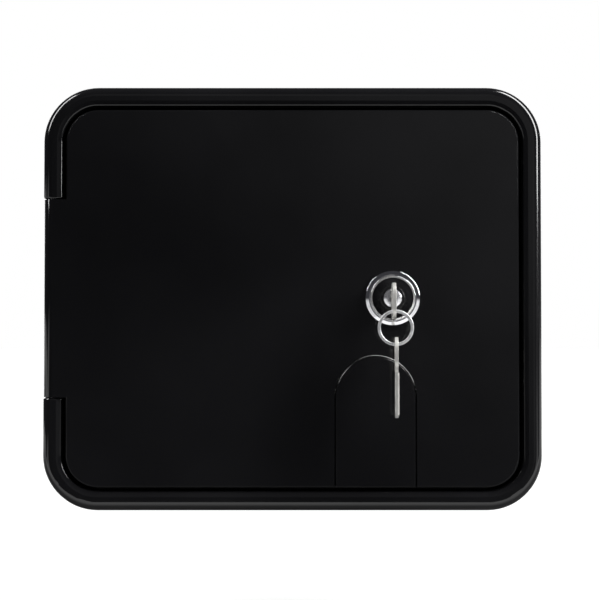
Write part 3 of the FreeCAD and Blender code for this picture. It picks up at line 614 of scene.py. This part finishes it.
class HATCH_OT_door_seal(Operator):
    """Lay the foam seal round the door's back, open at the cord's mouth."""

    bl_idname = "hatch.door_seal"
    bl_label = "Door seal"

    strip_width = 0.003
    corner = 0.0097
    mouth_clear = 0.0009

    def execute(self, context):
        low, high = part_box("door_seal")
        flap_low, flap_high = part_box("cord_flap")
        half = self.strip_width / 2
        path = seal_path(high.x - half, high.z - half, self.corner,
                         flap_low.x - self.mouth_clear, flap_high.x + self.mouth_clear)
        section = seal_section(self.strip_width, low.y, high.y)
        points = []
        for index, spot in enumerate(path):
            before = path[max(index - 1, 0)]
            after = path[min(index + 1, len(path) - 1)]
            run = Vector((after[0] - before[0], after[1] - before[1])).normalized()
            side = Vector((run.y, -run.x))
            for across, depth in section:
                points.append((spot[0] + side.x * across, depth, spot[1] + side.y * across))
        faces = tube_faces(len(path), len(section))
        new_piece("seal_strip", points, faces, foam_finish(), "door", "door_seal",
                  60.0)
        return {"FINISHED"}


def seal_path(half_x, half_z, corner, gap_left, gap_right):
    """From the right end of the cord's mouth, right, up and round to its left end."""
    inner_x = half_x - corner
    inner_z = half_z - corner
    turns = 12
    path = straight((gap_right, -half_z), (inner_x, -half_z), 10)
    path += arc((inner_x, -inner_z), corner, -90, 0, turns)
    path += straight((half_x, -inner_z), (half_x, inner_z), 36)[1:]
    path += arc((inner_x, inner_z), corner, 0, 90, turns)[1:]
    path += straight((inner_x, half_z), (-inner_x, half_z), 48)[1:]
    path += arc((-inner_x, inner_z), corner, 90, 180, turns)[1:]
    path += straight((-half_x, inner_z), (-half_x, -inner_z), 36)[1:]
    path += arc((-inner_x, -inner_z), corner, 180, 270, turns)[1:]
    path += straight((-inner_x, -half_z), (gap_left, -half_z), 30)[1:]
    return path


def seal_section(width, back, tip):
    """A flat glued face at the door and a crowned face towards the frame's ledge."""
    half = width / 2
    crown = arc((0.0, tip - half), half, 0, 180, 8)
    return [(-half, back), (half, back)] + crown


# Lock

class HATCH_OT_lock_bezel(Operator):
    """Turn the chromed bezel with its rolled crest and inner lip."""

    bl_idname = "hatch.lock_bezel"
    bl_label = "Lock bezel"

    # How far it stands off the housing's head, and how far it reaches in behind the head
    head_clear = 0.00005
    seat_width = 0.00095
    seat_thick = 0.0008
    # The skirt at the door, with small rounds at its two edges
    foot_round = 0.0001
    skirt_top = 0.0009
    flank_start = 0.00115
    # The crest between the flank and the inner ring, from the head's edge and from the front
    crest_out = 0.0015
    crest_drop = 0.00022
    # The inner ring's bead, and the lip that falls from it to the head
    bead_out = 0.00085
    bead_radius = 0.0002
    lip_width = 0.00026
    lip_drop = 0.0003
    lip_level = 0.0006

    def execute(self, context):
        low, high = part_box("lock_bezel")
        centre = middle_of("lock_bezel")
        outer = span_of("lock_bezel").x / 2
        head = span_of("lock_housing").x / 2 + self.head_clear
        inner = head - self.seat_width
        back, front = high.y, low.y
        edge = outer - self.foot_round
        crest = (head + self.crest_out, front + self.crest_drop)
        bead = (head + self.bead_out, front + self.bead_radius)
        profile = [(inner, back), (edge, back), (outer, back - self.foot_round)]
        profile += [(outer, back - self.skirt_top), (outer - 0.00003, back - 0.00105)]
        profile += straight((edge, back - self.flank_start), crest, 10)
        profile += [(crest[0] - 0.00014, crest[1] - 0.00003),
                    (crest[0] - 0.0003, crest[1] + 0.00002)]
        profile += arc(bead, self.bead_radius, 0, -180, 10)
        profile += [(head + 0.0005, front + 0.0005), (head + 0.00036, front + self.lip_level)]
        profile += self.quarter(head + self.lip_width, front + self.lip_level,
                                -self.lip_width, self.lip_drop, 6)
        profile += [(head, back - self.seat_thick), (inner, back - self.seat_thick)]
        points, faces = turned(profile, centre, sizes().lathe_steps)
        new_piece("bezel_ring", points, faces, chrome_finish("bezel_chrome"), "door", "lock_bezel",
                  32.0)
        return {"FINISHED"}

    def quarter(self, radius, along, wide, deep, steps):
        """A quarter of an oval from (radius, along), with wide and deep as signed half axes."""
        points = []
        for step in range(steps + 1):
            angle = math.pi / 2 * step / steps
            points.append((radius + wide * math.sin(angle), along + deep * (1 - math.cos(angle))))
        return points


class HATCH_OT_lock_housing(Operator):
    """Turn the black housing: its face, its threaded barrel and the two flats."""

    bl_idname = "hatch.lock_housing"
    bl_label = "Lock housing"

    # Kinds of row in the profile: round, cut by the two flats, and threaded between the flats
    round_row, flat_row, thread_row = 0, 1, 2
    head_width = 0.001
    head_thick = 0.0007
    flat_depth = 0.0009
    plug_clear = 0.0001
    groove_depth = 0.00006
    # The thread: plain lengths before and after it, its slope and the profile rows to one turn
    thread_start = 0.0002
    thread_rest = 0.0012
    thread_slope = 2.6
    rows_a_turn = 8

    def execute(self, context):
        low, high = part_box("lock_housing")
        centre = middle_of("lock_housing")
        head = span_of("lock_housing").x / 2
        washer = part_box("lock_washer")[1].y
        barrel = head - self.head_width
        flat = barrel - self.flat_depth
        bore = span_of("lock_plug").x / 2 + self.plug_clear
        front, back = low.y, high.y
        points = []
        rows = self.profile(head, barrel, bore, front, back, washer)
        steps = sizes().lathe_steps
        for radius, along, kind in rows:
            for step in range(steps):
                share = step / steps
                angle = 2 * math.pi * share
                reach = radius - (self.cut_at(along, share) if kind == self.thread_row else 0.0)
                across = reach * math.cos(angle)
                if kind != self.round_row:
                    across = max(-flat, min(flat, across))
                points.append((centre.x + across, along, centre.z + reach * math.sin(angle)))
        faces = rings_to_faces(len(rows), steps, closed_rows=True)
        new_piece("housing_barrel", points, faces, lock_face_finish(), "door", "lock_housing",
                  30.0)
        return {"FINISHED"}

    def profile(self, head, barrel, bore, front, back, washer):
        """Radius, distance along Y and kind of each row, from the bore over the face and back."""
        groove = front + self.groove_depth
        lip = front + self.head_thick
        rows = [(bore, back), (bore, front + 0.0001), (bore + 0.0001, front),
                (bore + 0.0009, front), (bore + 0.001, groove), (bore + 0.00125, groove),
                (bore + 0.00135, front), (head - 0.0003, front), (head - 0.0001, front + 0.00008),
                (head, front + 0.00025), (head, lip)]
        rows = [(radius, along, self.round_row) for radius, along in rows]
        rows += [(barrel, lip, self.flat_row), (barrel, washer, self.flat_row)]
        pitch = sizes().thread_pitch
        turns = int((back - washer - self.thread_rest) / pitch * self.rows_a_turn)
        for row in range(turns + 1):
            along = washer + self.thread_start + row * pitch / self.rows_a_turn
            rows.append((barrel, along, self.thread_row))
        return rows + [(barrel - 0.0004, back - 0.0006, self.flat_row),
                       (barrel - 0.0007, back, self.flat_row)]

    def cut_at(self, along, share):
        """How far the thread's groove lies below its crest here."""
        phase = (along / sizes().thread_pitch + share) % 1.0
        return sizes().thread_depth * max(0.0, 1.0 - abs(phase - 0.5) * self.thread_slope)


class HATCH_OT_lock_plug(Operator):
    """Finish the chromed plug and the brass wafers inside it."""

    bl_idname = "hatch.lock_plug"
    bl_label = "Lock plug and wafers"

    wafer_round = 0.00006
    # The crown stops short of the plug's edge, falls by this power and is sunk into the plug
    rim_clear = 0.00008
    fall = 1.7
    sunk = 0.0002
    # The straight side at the keyway as a share of the rim's height there
    spine = 0.98
    rows, steps = 10, 24

    def execute(self, context):
        material = satin_finish()
        paint(refine("lock_plug", sizes().metal_round), material)
        paint(refine("lock_wafers", self.wafer_round, segments=2), brass_finish())
        for side, name in ((-1, "plug_crown_left"), (1, "plug_crown_right")):
            self.add_crown(side, name, material)
        return {"FINISHED"}

    def add_crown(self, side, name, material):
        """One half of the plug's rounded front, beside the keyway."""
        low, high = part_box("lock_plug")
        centre = middle_of("lock_plug")
        radius = (high.x - low.x) / 2 - self.rim_clear
        edge = sizes().keyway_width / 2
        rows, steps = self.rows, self.steps
        limit = math.acos(edge / radius)
        points = []
        for row in range(rows + 1):
            share = row / rows
            for step in range(steps + 1):
                angle = -limit + 2 * limit * step / steps
                rim = (radius * math.cos(angle), radius * math.sin(angle))
                spine = (edge, rim[1] * self.spine)
                across = spine[0] + (rim[0] - spine[0]) * share
                level = spine[1] + (rim[1] - spine[1]) * share
                out = min(math.hypot(across, level) / radius, 1.0)
                lift = sizes().plug_crown * (1.0 - out ** self.fall)
                points.append((centre.x + side * across, low.y - lift, centre.z + level))
        count = steps + 1
        faces = []
        for row in range(rows):
            for step in range(steps):
                first = row * count + step
                faces.append((first, first + 1, first + count + 1, first + count))
        shift = len(points)
        points += [(x, low.y + self.sunk, z) for x, y, z in points]
        faces += [tuple(index + shift for index in reversed(face)) for face in faces]
        rim_loop = (list(range(count)) + [row * count + steps for row in range(1, rows + 1)]
                    + [rows * count + step for step in range(steps - 1, -1, -1)]
                    + [row * count for row in range(rows - 1, 0, -1)])
        for index, spot in enumerate(rim_loop):
            after = rim_loop[(index + 1) % len(rim_loop)]
            faces.append((spot, after, after + shift, spot + shift))
        new_piece(name, points, faces, material, "plug", None, 40.0)


class HATCH_OT_lock_fixings(Operator):
    """Finish the nut, washers, cam and screw behind the door."""

    bl_idname = "hatch.lock_fixings"
    bl_label = "Lock fixings"

    def execute(self, context):
        material = zinc_finish()
        for node in ("lock_washer", "lock_nut", "stop_washer", "lock_cam", "cam_washer",
                     "cam_screw"):
            paint(refine(node, sizes().metal_round), material)
        return {"FINISHED"}


# Keys

class HATCH_OT_keys(Operator):
    """Stamp the two flat keys: a round bow with its slot, a milled groove and the cuts."""

    bl_idname = "hatch.keys"
    bl_label = "Keys"

    bow_length = 0.015
    bow_width = 0.0162
    # How far the blade's middle lies above the bow's
    bow_offset = 0.0016
    blade_length = 0.020
    blade_half = 0.003
    tip = 0.0026
    # Each cut's place along the blade and its depth, and half its width at the edge and floor
    cuts = ((0.0068, 0.0004), (0.0087, 0.0011), (0.0106, 0.0007), (0.0125, 0.0013),
            (0.0144, 0.0005))
    cut_mouth = 0.00125
    cut_floor = 0.0006
    # The slot for the ring: its end's radius, half its length and the metal left beside it
    slot_radius = 0.0022
    slot_half = 0.0057
    slot_wall = 0.0019
    # The milled groove: its start after the shoulder, end before the tip, sides and depth
    groove_start = 0.0005
    groove_end = 0.0011
    groove_sides = (0.0002, 0.0016)
    groove_depth = 0.0004
    # The turned spare key is set back by this to stay within its solid's box
    lean_back = 0.00004

    def execute(self, context):
        material = nickel_finish()
        low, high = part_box("key_inserted")
        centre = middle_of("key_inserted")
        shoulder = Vector((centre.x, low.y + self.bow_length, centre.z + self.bow_offset))
        place = Matrix.Translation(shoulder) @ Matrix(((0, 0, 1), (1, 0, 0), (0, 1, 0))).to_4x4()
        self.add_key("inserted_key", "key_inserted", "key", place, material)
        low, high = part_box("key_spare")
        centre = middle_of("key_spare")
        lean = Matrix.Rotation(-sizes().key_lean, 4, "Z")
        shoulder = Vector((0, self.lean_back - self.bow_offset,
                           high.z - self.bow_length - centre.z))
        hang = Matrix(((0, 0, -1), (0, -1, 0), (-1, 0, 0))).to_4x4()
        place = Matrix.Translation(centre) @ lean @ Matrix.Translation(shoulder) @ hang
        self.add_key("spare_key", "key_spare", "spare_key", place, material)
        return {"FINISHED"}

    def bow_and_blade(self):
        """The key's outline: X from the bow's end to the tip, Y across, the shoulder at X = 0."""
        corner = sizes().key_corner
        top = self.bow_width / 2 - self.bow_offset
        low = top - self.bow_width
        half = self.blade_half
        line = arc((-corner, top - corner), corner, 90, 0, 12)
        line = [(x, y) for x, y in line if y > half + 0.0002] + [(-0.0001, half + 0.0001)]
        end = self.blade_length
        line += [(0.0, half), (end - self.tip * 0.45, half), (end, half - self.tip * 0.5),
                 (end, -half + self.tip), (end - self.tip, -half)]
        for along, depth in reversed(self.cuts):
            line += [(along + self.cut_mouth, -half), (along + self.cut_floor, -half + depth),
                     (along - self.cut_floor, -half + depth), (along - self.cut_mouth, -half)]
        line += [(0.0, -half)]
        foot = arc((-corner, low + corner), corner, 0, -90, 12)
        line += [(x, y) for x, y in foot if y < -half - 0.0002]
        line += arc((corner - self.bow_length, low + corner), corner, 270, 180, 16)
        line += arc((corner - self.bow_length, top - corner), corner, 180, 90, 16)
        return line

    def slot(self):
        """The slot in the bow that the ring passes through."""
        radius = self.slot_radius
        near = -self.bow_length + self.slot_wall + radius
        reach = self.slot_half - radius
        line = arc((near, reach - self.bow_offset), radius, 0, 180, 14)
        return line + arc((near, -reach - self.bow_offset), radius, 180, 360, 14)

    def add_key(self, name, node, body, place, material):
        """Fill the outline and the slot, thicken the sheet, mill it and put it in its place."""
        half = sizes().key_thick / 2
        sheet = bmesh.new()
        for line in (self.bow_and_blade(), self.slot()):
            ring = [sheet.verts.new((x, y, -half)) for x, y in line]
            for index, spot in enumerate(ring):
                sheet.edges.new((spot, ring[(index + 1) % len(ring)]))
        bmesh.ops.remove_doubles(sheet, verts=sheet.verts, dist=SEAM)
        bmesh.ops.triangle_fill(sheet, use_beauty=True, use_dissolve=True, edges=sheet.edges)
        grown = bmesh.ops.extrude_face_region(sheet, geom=sheet.faces[:])
        moved = [item for item in grown["geom"] if isinstance(item, bmesh.types.BMVert)]
        bmesh.ops.translate(sheet, verts=moved, vec=(0, 0, 2 * half))
        self.mill(sheet, half)
        bmesh.ops.transform(sheet, matrix=place, verts=sheet.verts)
        sheet.verts.index_update()
        points = [tuple(spot.co) for spot in sheet.verts]
        faces = [tuple(spot.index for spot in face.verts) for face in sheet.faces]
        sheet.free()
        piece = new_piece(name, points, faces, material, body, node, 30.0)
        round_edges(piece, sizes().key_round, 4, 30.0)

    def mill(self, sheet, half):
        """Sink the groove along the blade: cut the sheet at its four sides, lower the floor."""
        start, end = self.groove_start, self.blade_length - self.groove_end
        under, over = self.groove_sides
        cuts = (((start, 0.0, 0.0), (1, 0, 0)), ((end, 0.0, 0.0), (1, 0, 0)),
                ((0.0, under, 0.0), (0, 1, 0)), ((0.0, over, 0.0), (0, 1, 0)))
        for spot, normal in cuts:
            bmesh.ops.bisect_plane(sheet, geom=sheet.verts[:] + sheet.edges[:] + sheet.faces[:],
                                   plane_co=spot, plane_no=normal, dist=SAME_POINT)
        floor = []
        for face in sheet.faces:
            middle = face.calc_center_median()
            on_top = face.normal.z > 0.9 or middle.z > half * 0.99
            if on_top and start < middle.x < end and under < middle.y < over:
                floor.append(face)
        sunk = bmesh.ops.extrude_face_region(sheet, geom=floor)
        bmesh.ops.delete(sheet, geom=floor, context="FACES")
        moved = [item for item in sunk["geom"] if isinstance(item, bmesh.types.BMVert)]
        bmesh.ops.translate(sheet, verts=moved, vec=(0, 0, -self.groove_depth))


class HATCH_OT_split_ring(Operator):
    """Coil the split ring: two flat turns of wire with a step where they change places."""

    bl_idname = "hatch.split_ring"
    bl_label = "Split ring"

    wire_width = 0.0014
    # Where the wire starts, steps from one coil to the other and ends, in degrees of turn
    wire_start, wire_end = 16.0, 700.0
    jog_start, jog_end = 344.0, 374.0
    steps = 180
    # The wire's two ends are filed down to this share
    filed = 0.8

    def execute(self, context):
        centre = middle_of("split_ring")
        outer = span_of("split_ring").z / 2
        middle = outer - self.wire_width / 2
        thick = sizes().wire_thick
        lift = (thick + sizes().ring_gap) / 2
        section = self.wire_section(self.wire_width, thick)
        steps = self.steps
        points = []
        for step in range(steps + 1):
            turn = self.wire_start + (self.wire_end - self.wire_start) * step / steps
            change = (turn - self.jog_start) / (self.jog_end - self.jog_start)
            change = min(max(change, 0.0), 1.0)
            change = change * change * (3 - 2 * change)
            along = centre.y + lift * (2 * change - 1)
            angle = math.radians(-turn)
            shrink = self.filed if step in (0, steps) else 1.0
            for out, up in section:
                reach = middle + out * shrink
                points.append((centre.x + reach * math.cos(angle), along + up * shrink,
                               centre.z + reach * math.sin(angle)))
        faces = tube_faces(steps + 1, len(section))
        material = steel_finish("ring_steel", (1.0, 0.15, 1.0), 0.5)
        new_piece("ring_coil", points, faces, material, "ring", "split_ring", 50.0)
        return {"FINISHED"}

    def wire_section(self, width, thick):
        """Flat wire with rounded sides, seen across."""
        flat = width / 2 - thick / 2
        right = arc((flat, 0.0), thick / 2, -90, 90, 6)
        left = arc((-flat, 0.0), thick / 2, 90, 270, 6)
        return right + left


# Studio

# The surroundings as reflections see them, by the parts of the direction that they look in.
# Each pair is where a white patch starts and where it is full.
DIM_SURROUNDINGS = (0.045, 0.045, 0.05, 1)
WHITE_BEHIND = (0.75, 0.98)
# The low band and the soft patch lie in front of the hatch: painted reflections, bright only to
# reflections and lighting nothing
BAND_OUTER = (-0.42, -0.55)
BAND_INNER = (-0.78, -0.70)
BAND_TOP = (0.02, -0.08)
SOFT_CORNER = (0.02, 0.3)
SOFT_FRONT = (-0.84, -0.94)
SOFT_STRENGTH = 0.2

# The floor: its colour, and its glow by the distance from the hatch, or in front of it
FLOOR_REACH = 60.0
FLOOR_COLOUR = (0.2, 0.2, 0.2, 1)
FLOOR_SEEN = (0.25, 1.3, 0.88, 1.0)
FLOOR_FAR = (0.3, 1.3)
FLOOR_BEFORE = (-0.03, -0.09)

# Name, two ends, width in metres and power in watts of each strip lamp
LAMPS = (("lamp_right", (1.02, -0.42, 0.16), (0.38, 0.0, 0.98), 0.24, 16),
         ("lamp_left", (-0.98, -0.34, 0.38), (-0.55, 0.0, 0.93), 0.18, 7),
         ("lamp_back", (-0.5, 1.6, 0.15), (0.5, 1.6, 0.15), 0.5, 5))

# The camera's lens in millimetres, and the point that it looks at
LENS = 99.8
SENSOR = 36
LOOK = (0.00335, -0.004, -0.0006)


class HATCH_OT_stage(Operator):
    """Set the floor, the lamps, the white surroundings and the camera."""

    bl_idname = "hatch.stage"
    bl_label = "Studio"

    def execute(self, context):
        build_world()
        build_floor()
        for lamp in LAMPS:
            add_lamp(*lamp)
        build_camera()
        return {"FINISHED"}


def build_world():
    """White to the camera and to reflections of what is behind the hatch, dim in front of it but
    for a low band and a soft upper-right patch there, which are painted reflections: white to
    reflections only, lighting nothing.
    """
    world = bpy.data.worlds.new("Studio surroundings")
    bpy.context.scene.world = world
    world.use_nodes = True
    tree = world.node_tree
    link = tree.links.new
    tree.nodes.clear()
    out = add_node(tree, "ShaderNodeOutputWorld")
    mix = add_node(tree, "ShaderNodeMixShader")
    white = add_node(tree, "ShaderNodeBackground")
    white.inputs["Color"].default_value = (1, 1, 1, 1)
    dim = add_node(tree, "ShaderNodeBackground")
    dim.inputs["Color"].default_value = DIM_SURROUNDINGS
    path = add_node(tree, "ShaderNodeLightPath")
    way = add_node(tree, "ShaderNodeTexCoord")
    across, deep, level = axes(tree, way.outputs["Generated"])
    behind = ramp(tree, deep, *WHITE_BEHIND)
    # Painted reflection: a low band and a soft upper-right patch in front, white to glossy rays
    # only
    band = maths(tree, "MULTIPLY", ramp(tree, deep, *BAND_OUTER), ramp(tree, deep, *BAND_INNER))
    band = maths(tree, "MULTIPLY", band, ramp(tree, level, *BAND_TOP))
    corner = maths(tree, "ADD", across, level)
    soft = maths(tree, "MULTIPLY", ramp(tree, corner, *SOFT_CORNER), ramp(tree, deep, *SOFT_FRONT))
    before = maths(tree, "MULTIPLY_ADD", soft, SOFT_STRENGTH, band)
    bright = maths(tree, "MAXIMUM", behind, before)
    mirrored = maths(tree, "MULTIPLY", bright, path.outputs["Is Glossy Ray"])
    seen = maths(tree, "MAXIMUM", path.outputs["Is Camera Ray"],
                 path.outputs["Is Transmission Ray"])
    link(maths(tree, "MAXIMUM", seen, mirrored), mix.inputs["Fac"])
    link(dim.outputs[0], mix.inputs[1])
    link(white.outputs[0], mix.inputs[2])
    link(mix.outputs[0], out.inputs["Surface"])


def build_floor():
    """A pale sweep whose far part is as white as the surroundings."""
    low = CAD_BOX[0].z - sizes().floor_drop
    front = -sizes().floor_front
    mesh = bpy.data.meshes.new("floor")
    mesh.from_pydata([(-FLOOR_REACH, front, low), (FLOOR_REACH, front, low),
                      (FLOOR_REACH, FLOOR_REACH, low), (-FLOOR_REACH, FLOOR_REACH, low)],
                     [], [(0, 1, 2, 3)])
    floor = bpy.data.objects.new("floor", mesh)
    bpy.context.scene.collection.objects.link(floor)
    material = bpy.data.materials.new("white_floor")
    material.use_nodes = True
    tree = material.node_tree
    link = tree.links.new
    shader = tree.nodes["Principled BSDF"]
    shader.inputs["Base Color"].default_value = FLOOR_COLOUR
    shader.inputs["Roughness"].default_value = 0.9
    place = add_node(tree, "ShaderNodeTexCoord").outputs["Object"]
    length = add_node(tree, "ShaderNodeVectorMath", operation="LENGTH")
    link(place, length.inputs[0])
    away = length.outputs["Value"]
    deep = axes(tree, place)[1]
    path = add_node(tree, "ShaderNodeLightPath")
    seen = maths(tree, "MULTIPLY", ramp(tree, away, *FLOOR_SEEN), path.outputs["Is Camera Ray"])
    white = maths(tree, "MAXIMUM", ramp(tree, deep, *FLOOR_BEFORE), ramp(tree, away, *FLOOR_FAR))
    mirrored = maths(tree, "MULTIPLY", white, path.outputs["Is Glossy Ray"])
    glow = add_node(tree, "ShaderNodeEmission")
    link(maths(tree, "MAXIMUM", seen, mirrored), glow.inputs["Strength"])
    add = add_node(tree, "ShaderNodeAddShader")
    link(shader.outputs[0], add.inputs[0])
    link(glow.outputs[0], add.inputs[1])
    link(add.outputs[0], tree.nodes["Material Output"].inputs["Surface"])
    mesh.materials.append(material)


def add_lamp(name, start, end, width, power):
    """A soft strip lamp from start to end that faces the hatch."""
    start, end = Vector(start), Vector(end)
    data = bpy.data.lights.new(name, "AREA")
    data.shape = "RECTANGLE"
    data.size = (end - start).length
    data.size_y = width
    data.energy = power
    lamp = bpy.data.objects.new(name, data)
    middle = (start + end) / 2
    back = middle.normalized()
    along = (end - start).normalized()
    along = (along - back * along.dot(back)).normalized()
    across = back.cross(along)
    turn = Matrix((along, across, back)).transposed()
    lamp.matrix_world = Matrix.Translation(middle) @ turn.to_4x4()
    bpy.context.scene.collection.objects.link(lamp)


def build_camera():
    """The camera in front of the hatch and a little below its middle, as in the photograph."""
    data = bpy.data.cameras.new("camera")
    data.lens = LENS
    data.sensor_width = SENSOR
    camera = bpy.data.objects.new("camera", data)
    look = Vector(LOOK)
    camera.location = (look.x, -sizes().camera_distance, look.z - sizes().camera_drop)
    direction = look - camera.location
    camera.rotation_mode = "QUATERNION"
    camera.rotation_quaternion = direction.to_track_quat("-Z", "Y")
    bpy.context.scene.collection.objects.link(camera)
    bpy.context.scene.camera = camera
    bpy.context.scene.view_settings.view_transform = "Standard"


class HATCH_PT_panel(Panel):
    """Steps of the hatch's finish."""

    bl_label = "Power cord hatch"
    bl_idname = "HATCH_PT_panel"
    bl_space_type = "VIEW_3D"
    bl_region_type = "UI"
    bl_category = "Hatch"

    def draw(self, context):
        for step in STEPS:
            self.layout.operator(step.bl_idname)


STEPS = (HATCH_OT_stage, HATCH_OT_frame, HATCH_OT_door, HATCH_OT_hinge_pin,
         HATCH_OT_door_seal, HATCH_OT_lock_bezel, HATCH_OT_lock_housing, HATCH_OT_lock_plug,
         HATCH_OT_lock_fixings, HATCH_OT_keys, HATCH_OT_split_ring)
CLASSES = (HatchSizes, HatchColours, *STEPS, HATCH_PT_panel)


def register():
    for kind in CLASSES:
        bpy.utils.register_class(kind)
    bpy.types.Scene.hatch_sizes = PointerProperty(type=HatchSizes)
    bpy.types.Scene.hatch_colours = PointerProperty(type=HatchColours)


def unregister():
    del bpy.types.Scene.hatch_colours
    del bpy.types.Scene.hatch_sizes
    for kind in reversed(CLASSES):
        bpy.utils.unregister_class(kind)


def main():
    register()
    for step in STEPS:
        group, name = step.bl_idname.split(".")
        getattr(getattr(bpy.ops, group), name)()


if __name__ == "__main__":
    main()
